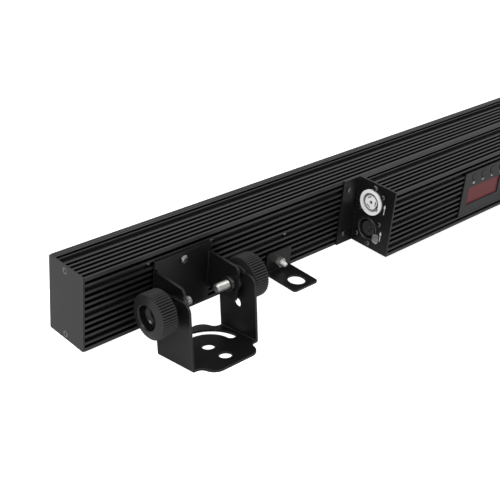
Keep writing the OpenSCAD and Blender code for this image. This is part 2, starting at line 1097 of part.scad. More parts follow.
module tact_switches() {
    color([0.15, 0.15, 0.15])
        on_bar()
            for (x = button_spots)
                translate([x, -36.6, button_z])
                    difference() {
                        cube([6, 4.4, 6], center = true);
                        y_rod(1.75, -3, 0.8);
                    }
}

// ---------- power supply, driver and wiring inside the box ----------

supply_x = 25;
supply_w = 130;
driver_x = 155;
driver_w = 90;
board_y = -5;
board_h = 44;

module power_supply() {
    color([0.75, 0.65, 0.3])
        on_bar()
            board(supply_x, supply_w);
}

module driver_board() {
    color([0.05, 0.3, 0.12])
        on_bar()
            difference() {
                board(driver_x, driver_w);
                translate([led_cable_x, 0, 0])
                    y_rod(7, -20, 5);
            }
}

module board(x, w) {
    difference() {
        translate([x, board_y - 0.8, 0])
            cube([w, 1.6, board_h], center = true);
        for (sx = [-1, 1], sz = [-1, 1])
            translate([x + sx * (w / 2 - 5), 0, sz * (board_h / 2 - 5)])
                y_rod(1.6, -20, 5);
    }
}

module board_standoffs() {
    color([0.8, 0.7, 0.4])
        on_bar()
            for (b = [[supply_x, supply_w], [driver_x, driver_w]], sx = [-1, 1], sz = [-1, 1])
                translate([b[0] + sx * (b[1] / 2 - 5), 0, sz * (board_h / 2 - 5)]) {
                    y_rod(3, board_y, 0);
                    y_rod(1.5, board_y - 3, 0);
                }
}

// Transformer, filter choke, capacitors and heat sink of the supply, and the driver's coils
module supply_components() {
    top = board_y - 1.6;
    color([0.2, 0.2, 0.22])
        on_bar() {
            translate([supply_x + 5, top - 11, 0])
                cube([30, 22, 34], center = true);
            translate([supply_x - 30, top - 9, -6])
                cube([18, 18, 22], center = true);
            for (k = [0 : 1])
                translate([supply_x + 34 + 17 * k, 0, -8])
                    y_rod(7.5, top - 25, top);
            translate([supply_x + 38, top - 10, 13])
                cube([36, 20, 3], center = true);
            for (k = [0 : 3])
                translate([driver_x - 30 + 12 * k, 0, -14])
                    y_rod(5, top - 8, top);
        }
}

// Straight run of round cable between two points, along one axis
module x_run(x0, x1, y, z, r) {
    translate([0, y, z])
        x_rod(r, x0, x1);
}

// Mains leads, signal leads and the lead to the light cells
module wiring() {
    color([0.1, 0.1, 0.1])
        on_bar() {
            x_run(supply_x + supply_w / 2 + 0.5, half_box - 30.2, -connector_y, power_z, 2.4);
            x_run(30.2 - half_box, supply_x - supply_w / 2 - 4, -connector_y, power_z, 2.4);
            x_run(24.2 - half_box, panel_mid - panel_w / 2, -connector_y, dmx_z, 1.6);
            x_run(driver_x, half_box - 24.2, -connector_y, dmx_z, 1.6);
            translate([led_cable_x, 0, 0])
                y_rod(2.4, -16, 7);
        }
}

bar_housing();
end_plate_left();
end_plate_right();
end_plate_screws();
front_window();
lens_frame();
lenses();
led_boards();
led_emitters();
board_screws();
bracket_left();
bracket_right();
bracket_screws();
bracket_nuts();
yoke_spacers();
yoke_left();
yoke_right();
knob_left_outer();
knob_left_inner();
knob_right_inner();
knob_right_outer();
bolt_left_outer();
bolt_left_inner();
bolt_right_inner();
bolt_right_outer();
washer_left_outer();
washer_left_inner();
washer_right_inner();
washer_right_outer();
safety_eyelets();
eyelet_studs();
eyelet_nuts();
driver_box_housing();
connector_plate_left();
connector_plate_right();
plate_screws();
power_outlet();
power_inlet();
power_contacts();
dmx_outlet();
dmx_outlet_insert();
dmx_inlet();
dmx_contacts();
latch_button();
connector_screws();
control_panel();
display_window();
display_module();
button_1();
button_2();
button_3();
button_4();
control_board();
tact_switches();
power_supply();
supply_components();
driver_board();
board_standoffs();
wiring();
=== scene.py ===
"""Looks of the LED strip batten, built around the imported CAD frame. All lengths are in metres."""

import json
import math

import bmesh
import bpy
from mathutils import Matrix, Vector


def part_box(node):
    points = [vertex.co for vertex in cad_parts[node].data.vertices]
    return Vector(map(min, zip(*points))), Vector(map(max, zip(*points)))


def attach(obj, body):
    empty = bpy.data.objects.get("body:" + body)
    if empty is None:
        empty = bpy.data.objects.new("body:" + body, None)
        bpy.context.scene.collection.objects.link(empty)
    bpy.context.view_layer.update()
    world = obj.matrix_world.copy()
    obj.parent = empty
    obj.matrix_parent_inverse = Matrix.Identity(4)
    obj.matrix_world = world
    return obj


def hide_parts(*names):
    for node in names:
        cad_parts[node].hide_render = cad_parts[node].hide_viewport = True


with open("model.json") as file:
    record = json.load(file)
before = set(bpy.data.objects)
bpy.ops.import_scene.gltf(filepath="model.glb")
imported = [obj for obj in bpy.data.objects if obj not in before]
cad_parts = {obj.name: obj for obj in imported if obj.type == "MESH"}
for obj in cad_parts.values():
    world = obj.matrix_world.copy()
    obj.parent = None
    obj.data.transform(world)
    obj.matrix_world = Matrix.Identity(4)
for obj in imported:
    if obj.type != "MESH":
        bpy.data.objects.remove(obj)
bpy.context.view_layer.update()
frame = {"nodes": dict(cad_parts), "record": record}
NODES = frame["nodes"]
JOINTS = {joint["name"]: joint for joint in frame["record"]["behaviour"]["joints"]}
MM = 0.001

# The bar is tipped about X by TILT. Its own axes: along it, out of its back (-Y) and up its back (+Z)
PRESS_AXIS = JOINTS["button_1_press"]["axis"]
TILT = math.atan2(PRESS_AXIS[2], PRESS_AXIS[1])
BAR_TURN = Matrix.Rotation(TILT, 4, "X")
BACK_OUT = BAR_TURN @ Vector((0, -1, 0))
BACK_UP = BAR_TURN @ Vector((0, 0, 1))

# Camera, as angles round the object: azimuth 0 looks along +Y
CAMERA_AZIMUTH = math.radians(-42.9)
CAMERA_ELEVATION = math.radians(23.2)
CAMERA_ROLL = math.radians(-1.85)
CAMERA_DISTANCE = 0.83
CAMERA_LENS_MM = 74.1
CAMERA_AIM = Vector((0.0556, 0.0078, 0.0165))   # from the left yoke's pivot

WORLD_LIGHT = 0.75
LIGHT_AIM = Vector((-0.25, 0, 0.04))            # the stretch of the bar that the photo shows

# The clamping knobs: name, and the way each one points along X
KNOBS = {"left_outer": -1, "left_inner": 1, "right_inner": -1, "right_outer": 1}
STUD_RADIUS = 4.0 * MM
STUD_PITCH = 1.25 * MM
PLAIN_END = 12.0 * MM           # the stretch of a stud without a thread, at its knob
EYELET_STUD_PITCH = 0.8 * MM
KNURLS = 52
KNURL_DEPTH = 1.25 * MM
DOME = 1.8 * MM
# Knob faces within this radius of the axis get a darker copy of the knob plastic: painted shade in the bowl
BOWL_RADIUS = 10.2 * MM


# ---------- node helpers ----------

class Shader:
    """A material under construction: add nodes by type and link them by socket."""

    def __init__(self, name):
        self.material = bpy.data.materials.new(name)
        self.material.use_nodes = True
        self.tree = self.material.node_tree
        self.bsdf = self.tree.nodes["Principled BSDF"]

    def add(self, kind, inputs=None, **settings):
        node = self.tree.nodes.new(kind)
        for key, value in settings.items():
            setattr(node, key, value)
        for key, value in (inputs or {}).items():
            self.put(node, key, value)
        return node

    def put(self, node, key, value):
        """Sets an input to a number or colour, or links it to another node's output."""
        if isinstance(value, bpy.types.NodeSocket):
            self.tree.links.new(value, node.inputs[key])
        elif isinstance(value, bpy.types.Node):
            self.tree.links.new(value.outputs[0], node.inputs[key])
        else:
            node.inputs[key].default_value = value

    def coords(self, scale=(1, 1, 1), turn_x=0.0):
        """Object coordinates in metres, turned about X and stretched."""
        source = self.add("ShaderNodeTexCoord")
        return self.add("ShaderNodeMapping", {
            "Vector": source.outputs["Object"],
            "Rotation": (turn_x, 0, 0),
            "Scale": scale,
        })

    def noise(self, vector, scale, detail=3.0, roughness=0.55):
        return self.add("ShaderNodeTexNoise", {
            "Vector": vector,
            "Scale": scale,
            "Detail": detail,
            "Roughness": roughness,
        }).outputs["Fac"]

    def ramp(self, factor, stops):
        """Grey or colour ramp from a list of (position, colour)."""
        node = self.add("ShaderNodeValToRGB", {"Fac": factor})
        elements = node.color_ramp.elements
        while len(elements) < len(stops):
            elements.new(0.5)
        for element, (position, colour) in zip(elements, stops):
            element.position = position
            element.color = colour if len(colour) == 4 else (*colour, 1)
        return node.outputs["Color"]

    def between(self, factor, low, high):
        """A number from low to high, as the factor goes from 0 to 1."""
        node = self.add("ShaderNodeMapRange", {"Value": factor, "To Min": low, "To Max": high})
        return node.outputs["Result"]

    def math(self, operation, a, b=0.0):
        node = self.add("ShaderNodeMath", operation=operation)
        self.put(node, 0, a)
        self.put(node, 1, b)
        return node.outputs[0]

    def mix(self, factor, a, b, blend="MIX"):
        node = self.add("ShaderNodeMix", data_type="RGBA", blend_type=blend)
        self.put(node, 0, factor)
        self.put(node, 6, a)
        self.put(node, 7, b)
        return node.outputs[2]

    def bump(self, height, strength, distance, normal=None):
        inputs = {"Height": height, "Strength": strength, "Distance": distance}
        if normal is not None:
            inputs["Normal"] = normal
        return self.add("ShaderNodeBump", inputs).outputs["Normal"]

    def crevice_shade(self, distance):
        """1 in the open, falling to 0 in corners and grooves where shade falls; colours multiplied by it get
        painted shade.
        """
        return self.add("ShaderNodeAmbientOcclusion", {"Distance": distance}, samples=6).outputs["AO"]

    def edges(self, radius):
        """0 on flat faces, rising to 1 along sharp edges."""
        rounded = self.add("ShaderNodeBevel", {"Radius": radius}, samples=4)
        actual = self.add("ShaderNodeNewGeometry").outputs["Normal"]
        inputs = {0: rounded.outputs["Normal"], 1: actual}
        dot = self.add("ShaderNodeVectorMath", inputs, operation="DOT_PRODUCT")
        return self.add("ShaderNodeMapRange", {
            "Value": dot.outputs["Value"],
            "From Min": 0.99,
            "From Max": 0.8,
        }).outputs["Result"]

    def done(self, **sockets):
        """Fills the surface's inputs and returns the finished material."""
        names = {
            "color": "Base Color",
            "rough": "Roughness",
            "metal": "Metallic",
            "normal": "Normal",
            "ior": "IOR",
            "specular": "Specular IOR Level",
            "coat": "Coat Weight",
            "coat_rough": "Coat Roughness",
            "transmission": "Transmission Weight",
            "emit": "Emission Color",
            "emit_strength": "Emission Strength",
        }
        for key, value in sockets.items():
            self.put(self.bsdf, names[key], value)
        return self.material


def grey(value):
    return (value, value, value, 1)


# ---------- materials ----------

def anodised_profile():
    """Dark anodised extrusion: die lines run along X, and the grooves get painted shade, a darker colour and
    less specular.
    """
    s = Shader("anodised_profile")
    lines = s.noise(s.coords((3, 2600, 2600), -TILT), 1.0, 4.0, 0.7)
    cloud = s.noise(s.coords((9, 60, 60)), 1.0, 3.0)
    grain = s.noise(s.coords((900, 2400, 2400)), 1.0, 2.0)
    unshaded_mask = s.crevice_shade(0.0045)
    tone = s.ramp(lines, [(0.25, (0.024, 0.024, 0.0245)), (0.75, (0.058, 0.058, 0.059))])
    tone = s.mix(0.35, tone, s.ramp(cloud, [(0.3, grey(0.024)), (0.7, grey(0.058))]))
    # Painted shade: the colour darkens towards the floor of the grooves
    depth = s.ramp(unshaded_mask, [(0.4, grey(0.0)), (0.85, grey(1.0))])
    tone = s.mix(1.0, tone, depth, "MULTIPLY")
    rough = s.math("ADD", s.between(lines, 0.34, 0.5), s.between(grain, -0.03, 0.05))
    normal = s.bump(lines, 0.25, 0.00012)
    normal = s.bump(grain, 0.15, 0.00006, normal)
    # Painted shade in the reflections too: less specular deep in the grooves
    specular = s.between(unshaded_mask, -0.15, 0.5)
    return s.done(color=tone, rough=rough, metal=0.5, normal=normal, specular=specular)


def powder_coat(name, low, high, bump, gloss):
    """Fine textured powder coat, with a painted highlight lightening it along its sharp edges."""
    s = Shader(name)
    grain = s.noise(s.coords(), 1900.0, 2.0, 0.6)
    orange_peel = s.noise(s.coords(), 420.0, 2.0)
    cloud = s.noise(s.coords(), 28.0, 3.0)
    tone = s.ramp(grain, [(0.3, grey(low)), (0.72, grey(high))])
    tone = s.mix(0.3, tone, s.ramp(cloud, [(0.3, grey(low)), (0.7, grey(high))]))
    # Painted highlight: sharp edges are lightened towards grey 0.13
    edge_highlight = s.edges(0.0006)
    tone = s.mix(s.math("MULTIPLY", edge_highlight, 0.4), tone, grey(0.13))
    rough = s.math("ADD", s.between(grain, 0.3, 0.42), s.between(cloud, -0.04, 0.04))
    normal = s.bump(orange_peel, bump * 0.6, 0.0001)
    normal = s.bump(grain, bump, 0.00006, normal)
    return s.done(color=tone, rough=rough, normal=normal, specular=gloss)


def moulded_plastic(name, low, high, rough=(0.38, 0.55), scale=1500.0, gloss=0.4, groove=0.0):
    """Fine-grained moulding; grooves narrower than about groove metres get painted shade, a darker colour.
    """
    s = Shader(name)
    grain = s.noise(s.coords(), scale, 3.0, 0.6)
    cloud = s.noise(s.coords(), 45.0, 2.0)
    tone = s.mix(s.between(cloud, 0.2, 0.8), low, high)
    tone = s.mix(0.25, tone, s.mix(grain, low, high))
    if groove:
        # Painted shade: the colour is multiplied down in grooves and corners
        shade = s.ramp(s.crevice_shade(groove), [(0.3, grey(0.12)), (0.72, grey(1.0))])
        tone = s.mix(1.0, tone, shade, "MULTIPLY")
    normal = s.bump(grain, 0.25, 0.00005)
    return s.done(color=tone, rough=s.between(grain, *rough), normal=normal, specular=gloss)


def zinc_plate(name, low, high, rough=(0.16, 0.36)):
    """Plated metal, clouded and finely scratched, with painted shade in its recesses."""
    s = Shader(name)
    cloud = s.noise(s.coords(), 160.0, 4.0, 0.65)
    scratch = s.noise(s.coords((300, 5200, 5200)), 1.0, 2.0)
    tone = s.ramp(cloud, [(0.3, (low, low, low * 0.97)), (0.7, (high, high, high * 0.97))])
    # Painted shade: the colour darkens in recesses
    shade = s.ramp(s.crevice_shade(0.0012), [(0.2, grey(0.25)), (0.8, grey(1.0))])
    tone = s.mix(1.0, tone, shade, "MULTIPLY")
    normal = s.bump(scratch, 0.12, 0.00003)
    return s.done(color=tone, rough=s.between(cloud, *rough), metal=1.0, normal=normal)


def clear_sheet(name, tint, rough=0.03):
    """Clear moulded plastic; faint smears vary its gloss."""
    s = Shader(name)
    smear = s.noise(s.coords((6, 40, 40)), 1.0, 3.0)
    return s.done(color=tint, rough=s.between(smear, rough, rough + 0.06), transmission=1.0, ior=1.49,
                  normal=s.bump(smear, 0.05, 0.0002))


def circuit_board(name, mask, trace):
    """Solder mask with paler tracks."""
    s = Shader(name)
    inputs = {"Vector": s.coords(), "Scale": 260.0}
    cells = s.add("ShaderNodeTexVoronoi", inputs, distance="CHEBYCHEV").outputs["Distance"]
    tracks = s.ramp(cells, [(0.32, mask), (0.36, trace)])
    speck = s.noise(s.coords(), 900.0, 2.0)
    tone = s.mix(0.15, tracks, s.mix(speck, mask, trace))
    return s.done(color=tone, rough=s.between(speck, 0.25, 0.45), normal=s.bump(cells, 0.2, 0.0001))


def red_filter():
    """Matt red window over the display, dark while the display is off."""
    s = Shader("red_filter")
    speck = s.noise(s.coords(), 1500.0, 2.0)
    tone = s.ramp(speck, [(0.3, (0.12, 0.018, 0.021)), (0.7, (0.17, 0.027, 0.031))])
    return s.done(color=tone, rough=s.between(speck, 0.32, 0.45), specular=0.28,
                  normal=s.bump(speck, 0.1, 0.00005))


def phosphor():
    """Yellow dome of an LED chip."""
    s = Shader("phosphor")
    grain = s.noise(s.coords(), 3000.0, 2.0)
    return s.done(color=s.ramp(grain, [(0.3, (0.75, 0.6, 0.12)), (0.7, (0.95, 0.85, 0.35))]),
                  rough=0.25, coat=0.6, coat_rough=0.05)


def rubber(name):
    """Matt black rubber with a fine grain."""
    s = Shader(name)
    grain = s.noise(s.coords(), 2200.0, 3.0)
    cloud = s.noise(s.coords(), 70.0, 2.0)
    tone = s.ramp(cloud, [(0.3, grey(0.010)), (0.7, grey(0.022))])
    return s.done(color=tone, rough=s.between(grain, 0.6, 0.85), normal=s.bump(grain, 0.3, 0.00008))


PROFILE = anodised_profile()
PLATE = powder_coat("plate_coat", 0.010, 0.018, bump=0.25, gloss=0.31)
STEEL = powder_coat("yoke_coat", 0.0035, 0.009, bump=0.3, gloss=0.33)
ZINC = zinc_plate("zinc_plate", 0.42, 0.66, (0.34, 0.5))
BRIGHT_ZINC = zinc_plate("bright_zinc", 0.75, 0.95, (0.3, 0.45))
SCREW_ZINC = zinc_plate("screw_zinc", 0.16, 0.42, (0.25, 0.4))
DARK_ZINC = zinc_plate("black_oxide", 0.10, 0.22, (0.22, 0.38))
BRASS = zinc_plate("contact_brass", 0.4, 0.65)
LIP = zinc_plate("lip_metal", 0.16, 0.24, (0.35, 0.5))
BLACK = moulded_plastic("black_plastic", grey(0.006), grey(0.012))
GLOSS_BLACK = moulded_plastic("gloss_black", grey(0.006), grey(0.012), (0.16, 0.26), 900.0, 0.6)
# Painted shade in the knob's knurl grooves, by groove=
KNOB = moulded_plastic("knob_plastic", grey(0.011), grey(0.021), (0.3, 0.42), 1300.0, 0.34, groove=0.0022)
# Darker, glossier copy of the knob plastic for the knob's bowl: painted shade
SHADED_KNOB_BOWL = moulded_plastic("knob_bowl_painted_shade", grey(0.002), grey(0.006), (0.14, 0.24), 900.0, 0.45)
# Painted shade in the connectors' wells and grooves, by groove=
LIGHT_GREY = moulded_plastic("connector_grey", grey(0.92), grey(0.97), (0.25, 0.4), groove=0.006)
BLUE = moulded_plastic("connector_blue", (0.01, 0.06, 0.35, 1), (0.02, 0.1, 0.5, 1), (0.25, 0.4),
                       groove=0.006)
CORE_BLACK = moulded_plastic("connector_core", grey(0.020), grey(0.032), (0.35, 0.5), gloss=0.5)
PANEL = moulded_plastic("panel_film", grey(0.017), grey(0.025), (0.4, 0.5), 2600.0, 0.32)
DISPLAY = moulded_plastic("display_body", grey(0.02), grey(0.03))
PRINT = moulded_plastic("white_print", grey(0.6), grey(0.72), (0.45, 0.6))
# Near-black ring round each button: painted shade of the gap round it
BUTTON_GAP_SHADE = moulded_plastic("button_gap_shade", grey(0.001), grey(0.003), (0.5, 0.6), gloss=0.1)
RUBBER = rubber("rubber")
CABLE = rubber("cable_sheath")
WINDOW = clear_sheet("front_polycarbonate", (0.97, 0.98, 1.0, 1))
LENS = clear_sheet("lens_acrylic", (0.99, 0.99, 1.0, 1), 0.01)
RED = red_filter()
PHOSPHOR = phosphor()
WHITE_BOARD = circuit_board("white_board", (0.75, 0.75, 0.72, 1), (0.62, 0.62, 0.58, 1))
GREEN_BOARD = circuit_board("green_board", (0.01, 0.10, 0.035, 1), (0.02, 0.17, 0.06, 1))
TAN_BOARD = circuit_board("supply_board", (0.45, 0.33, 0.12, 1), (0.52, 0.4, 0.17, 1))

LOOKS = {
    PROFILE: ["bar_housing", "driver_box_housing"],
    PLATE: ["end_plate_left", "end_plate_right"],
    STEEL: ["bracket_left", "bracket_right", "yoke_left", "yoke_right", "safety_eyelets",
            "connector_plate_left", "connector_plate_right"],
    ZINC: ["latch_button"] + [f"bolt_{name}" for name in KNOBS],
    BRIGHT_ZINC: ["eyelet_studs", "eyelet_nuts"],
    SCREW_ZINC: ["board_screws", "bracket_screws"],
    DARK_ZINC: ["end_plate_screws", "plate_screws", "connector_screws"],
    GLOSS_BLACK: ["bracket_nuts", "yoke_spacers"],
    BLACK: ["lens_frame", "dmx_outlet", "dmx_inlet", "tact_switches", "supply_components"],
    CORE_BLACK: ["dmx_outlet_insert"],
    PANEL: ["control_panel", "button_1", "button_2", "button_3", "button_4"],
    RUBBER: [f"washer_{name}" for name in KNOBS],
    KNOB: [f"knob_{name}" for name in KNOBS],
    LIGHT_GREY: ["power_outlet"],
    BLUE: ["power_inlet"],
    WINDOW: ["front_window"],
    LENS: ["lenses"],
    WHITE_BOARD: ["led_boards"],
    GREEN_BOARD: ["control_board", "driver_board"],
    TAN_BOARD: ["power_supply"],
    BRASS: ["power_contacts", "dmx_contacts", "board_standoffs"],
    RED: ["display_window"],
    DISPLAY: ["display_module"],
    PHOSPHOR: ["led_emitters"],
    CABLE: ["wiring"],
}


def dress(node, material):
    """Gives a CAD node its material, in every slot it has."""
    mesh = NODES[node].data
    if not mesh.materials:
        mesh.materials.append(material)
    for slot in range(len(mesh.materials)):
        mesh.materials[slot] = material


# Joining the flat faces of these would leave slivers round their holes
KEEP_TRIANGLES = ("yoke_left", "yoke_right", "end_plate_left", "end_plate_right")


def soften(node, width, angle):
    """Joins a CAD node's flat faces and rounds its edges, by modifiers, which leave its mesh as it is."""
    piece = NODES[node]
    weld = piece.modifiers.new("join", "WELD")
    weld.merge_threshold = 0.000002
    if node not in KEEP_TRIANGLES:
        flat = piece.modifiers.new("flat", "DECIMATE")
        flat.decimate_type = "DISSOLVE"
        flat.angle_limit = math.radians(0.5)
    bevel = piece.modifiers.new("edge", "BEVEL")
    bevel.width = width
    bevel.segments = 2
    bevel.limit_method = "ANGLE"
    bevel.angle_limit = math.radians(angle)
    bevel.harden_normals = True


for material, names in LOOKS.items():
    for name in names:
        dress(name, material)

# ---------- edges ----------

# Width of the rounding, and the least angle between faces that it rounds
EDGES = {
    (0.35 * MM, 35): ["yoke_left", "yoke_right", "bracket_left", "bracket_right", "safety_eyelets"],
    (0.2 * MM, 35): ["connector_plate_left", "connector_plate_right", "end_plate_left", "end_plate_right",
                     "control_panel", "power_outlet", "power_inlet", "dmx_outlet", "dmx_inlet",
                     "latch_button"],
    (0.4 * MM, 50): ["bracket_nuts", "yoke_spacers"],
    (0.15 * MM, 60): ["bar_housing", "driver_box_housing"],
}
for (width, angle), names in EDGES.items():
    for name in names:
        soften(name, width, angle)


# ---------- turned pieces, built round a line along X ----------

def add_piece(name, verts, faces, material, body):
    """A closed mesh that rides on a CAD body."""
    mesh = bpy.data.meshes.new(name)
    mesh.from_pydata(verts, [], faces)
    shape = bmesh.new()
    shape.from_mesh(mesh)
    bmesh.ops.remove_doubles(shape, verts=shape.verts, dist=1e-7)
    bmesh.ops.recalc_face_normals(shape, faces=shape.faces)
    shape.to_mesh(mesh)
    shape.free()
    mesh.materials.append(material)
    piece = bpy.data.objects.new(name, mesh)
    bpy.context.collection.objects.link(piece)
    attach(piece, body)
    return piece


def smooth(piece, angle=40):
    """Smooth shading, with edges sharper than the angle kept crisp."""
    mesh = piece.data
    shape = bmesh.new()
    shape.from_mesh(mesh)
    for face in shape.faces:
        face.smooth = True
    for edge in shape.edges:
        edge.smooth = edge.is_manifold and edge.calc_face_angle(0) < math.radians(angle)
    shape.to_mesh(mesh)
    shape.free()


def turned(rows, count, radius_at, start, axis):
    """Verts and faces of a solid of rings round a line from start along axis.

    rows are the distances along it; radius_at(row, turn) gives each point's radius.
    """
    axis = Vector(axis).normalized()
    side = axis.cross(Vector((0, 0, 1))).normalized()
    up = side.cross(axis)
    verts = []
    for row, along in enumerate(rows):
        for step in range(count):
            turn = 2 * math.pi * step / count
            offset = (side * math.cos(turn) + up * math.sin(turn)) * radius_at(row, turn)
            verts.append(tuple(Vector(start) + axis * along + offset))
    faces = []
    for row in range(len(rows) - 1):
        for step in range(count):
            after = (step + 1) % count
            faces.append((row * count + step, row * count + after,
                          (row + 1) * count + after, (row + 1) * count + step))
    for row in (0, len(rows) - 1):
        first = row * count
        tip = len(verts)
        verts.append(tuple(Vector(start) + axis * rows[row]))
        for step in range(count):
            faces.append((first + step, first + (step + 1) % count, tip))
    return verts, faces


def middle(node):
    low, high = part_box(node)
    return tuple((low[k] + high[k]) / 2 for k in range(3))


def x_span(node, way):
    """Ends of a node along X, the nearer to the pivot first."""
    low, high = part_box(node)
    return (low[0], high[0]) if way > 0 else (high[0], low[0])


def knob_profile(thick, radius):
    """Distance along the knob, radius, and how much of the ridges' depth shows, for each ring."""
    ridge_end = thick - DOME
    return [
        (0.0, 5.0 * MM, 0), (0.0, radius - 2.4 * MM, 0), (0.15 * MM, radius - 1.7 * MM, 0),
        (0.4 * MM, radius - 0.7 * MM, 0.5), (0.8 * MM, radius - 0.15 * MM, 1), (1.2 * MM, radius, 1),
        (ridge_end - 1.0 * MM, radius, 1), (ridge_end - 0.6 * MM, radius - 0.15 * MM, 1),
        (ridge_end - 0.2 * MM, radius - 0.5 * MM, 0.8), (ridge_end, radius - 0.9 * MM, 0.4),
        (ridge_end + 0.05 * MM, radius - 1.35 * MM, 0), (ridge_end + 0.45 * MM, radius - 2.6 * MM, 0),
        (thick - 0.25 * MM, 11.8 * MM, 0), (thick, 11.0 * MM, 0), (thick - 0.05 * MM, 10.4 * MM, 0),
        (thick - 0.4 * MM, 10.0 * MM, 0), (thick - 2.5 * MM, 9.8 * MM, 0), (thick - 5.5 * MM, 9.4 * MM, 0),
        (thick - 7.2 * MM, 8.6 * MM, 0), (thick - 8.0 * MM, 7.0 * MM, 0), (thick - 8.6 * MM, 5.0 * MM, 0),
    ]


def add_knob(name, way):
    """Moulded knob: rounded ridges with chamfered ends, a flat ring and a deep bowl."""
    node = f"knob_{name}"
    low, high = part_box(node)
    centre = middle(node)
    inner, outer = x_span(node, way)
    thick = abs(outer - inner)
    radius = (high[2] - low[2]) / 2
    profile = knob_profile(thick, radius)
    steps = KNURLS * 10

    def radius_at(row, turn):
        ridge = abs(math.cos(turn * KNURLS / 2)) ** 0.7
        return profile[row][1] - profile[row][2] * KNURL_DEPTH * (1 - ridge)

    start = (inner, centre[1], centre[2])
    verts, faces = turned([p[0] for p in profile], steps, radius_at, start, (way, 0, 0))
    knob = add_piece(f"knob_{name}_moulding", verts, faces, KNOB, f"clamp_{name}_knob")
    # The bowl's faces get the darker copy: painted shade in the bowl
    knob.data.materials.append(SHADED_KNOB_BOWL)
    for face in knob.data.polygons:
        if math.hypot(face.center.y - centre[1], face.center.z - centre[2]) < BOWL_RADIUS:
            face.material_index = 1
    smooth(knob, 50)
    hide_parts(node)


def threaded_rod(length, start, axis, outer, pitch):
    """Verts and faces of a right-hand thread with a chamfered tip at start."""
    depth = pitch * 0.5
    rows = [pitch / 8 * k for k in range(int(length / pitch * 8))] + [length]

    def radius_at(row, turn):
        phase = (rows[row] / pitch + turn / (2 * math.pi)) % 1.0
        crest = max(0.0, min(1.0, (0.5 - abs(phase - 0.5)) * 2.6 - 0.15))
        chamfer = min(1.0, 0.62 + rows[row] / (outer * 0.3) * 0.38)
        return min(outer - depth * (1 - crest), outer * chamfer)

    return turned(rows, 32, radius_at, start, axis)


def add_bolt(name, way):
    """Stud with a rolled thread, and the collar that holds it in the knob."""
    node = f"bolt_{name}"
    centre = middle(node)
    tip, end = x_span(node, way)
    length = abs(end - tip)
    start = (tip, centre[1], centre[2])
    thread_len = length - PLAIN_END
    verts, faces = threaded_rod(thread_len, start, (way, 0, 0), STUD_RADIUS, STUD_PITCH)
    thread = add_piece(f"bolt_{name}_thread", verts, faces, ZINC, f"clamp_{name}_knob")
    smooth(thread, 45)
    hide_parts(node)
    shank = [(thread_len - 0.2 * MM, 3.9 * MM), (length - 4.4 * MM, 3.9 * MM), (length - 4.2 * MM, 5.2 * MM),
             (length - 3.4 * MM, 5.4 * MM), (length - 2.7 * MM, 4.6 * MM), (length - 2.2 * MM, 2.4 * MM)]
    verts, faces = turned([p[0] for p in shank], 48, lambda row, turn: shank[row][1], start, (way, 0, 0))
    head = add_piece(f"bolt_{name}_head", verts, faces, DARK_ZINC, f"clamp_{name}_knob")
    smooth(head, 40)


for name, way in KNOBS.items():
    add_knob(name, way)
    add_bolt(name, way)


# ---------- prints and rings on the driver box ----------

MARK_DROP = 6.2 * MM            # from a button's middle to the mark under it
ARROW_ASIDE = 15.4 * MM         # from a connector's middle to its arrow
ARROW_DROP = 1.5 * MM
PLATE_THICKNESS = 1.5 * MM
LIP_RADIUS = 10.0 * MM
LIP_THICKNESS = 0.3 * MM


def from_bar_axes(x, y, z):
    return BAR_TURN @ Vector((x, y, z))


def on_bar_axes(point):
    """A point in the bar's own axes: its length is along X, its height along Z, and its back faces -Y."""
    return BAR_TURN.inverted() @ Vector(point)


def add_lip(node, clear_of=None):
    """Thin rolled lip round the mouth of a round connector, half sunk in its face.

    It stops short on both sides of the node named clear_of.
    """
    low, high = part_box(node)
    face = low[0] if low[0] < 0 else high[0]
    centre = middle(node)
    count, section = 64, 10
    turns = [2 * math.pi * step / count for step in range(count)]
    if clear_of:
        gap_low, gap_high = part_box(clear_of)
        spot = middle(clear_of)
        away = math.atan2(spot[2] - centre[2], spot[1] - centre[1])

        def is_clear(turn):
            y = centre[1] + LIP_RADIUS * math.cos(turn)
            z = centre[2] + LIP_RADIUS * math.sin(turn)
            beside = y <= gap_low[1] - LIP_THICKNESS or y >= gap_high[1] + LIP_THICKNESS
            return beside or z <= gap_low[2] - LIP_THICKNESS or z >= gap_high[2] + LIP_THICKNESS

        turns = [away + turn for turn in turns if is_clear(away + turn)]
    verts, faces = [], []
    for turn in turns:
        for k in range(section):
            around = 2 * math.pi * k / section
            r = LIP_RADIUS + LIP_THICKNESS * math.cos(around)
            verts.append((face + LIP_THICKNESS * math.sin(around), centre[1] + r * math.cos(turn),
                          centre[2] + r * math.sin(turn)))
    steps = len(turns) - 1 if clear_of else len(turns)
    for step in range(steps):
        for k in range(section):
            a, b = step * section, (step + 1) % len(turns) * section
            after = (k + 1) % section
            faces.append((a + k, b + k, b + after, a + after))
    if clear_of:
        faces += [tuple(range(section)), tuple(range(steps * section, (steps + 1) * section))]
    smooth(add_piece(f"{node}_lip", verts, faces, LIP, "bar"), 80)


add_lip("dmx_outlet", clear_of="latch_button")
add_lip("dmx_inlet")


def add_flat_marks(name, outlines, place, right, up, out, material):
    """Flat marks, printed ones and painted shade: each outline is a list of (right, up) points in
    millimetres.
    """
    verts, faces = [], []
    right, up, out = Vector(right), Vector(up), Vector(out)
    for outline in outlines:
        first = len(verts)
        count = len(outline)
        for lift in (-0.02 * MM, 0.05 * MM):
            for across, along in outline:
                verts.append(tuple(Vector(place) + right * across * MM + up * along * MM + out * lift))
        faces.append(tuple(first + k for k in range(count)))
        faces.append(tuple(first + count + k for k in range(count)))
        for k in range(count):
            after = (k + 1) % count
            faces.append((first + k, first + after, first + count + after, first + count + k))
    return add_piece(name, verts, faces, material, "bar")


def rectangle(x0, y0, x1, y1):
    return [(x0, y0), (x1, y0), (x1, y1), (x0, y1)]


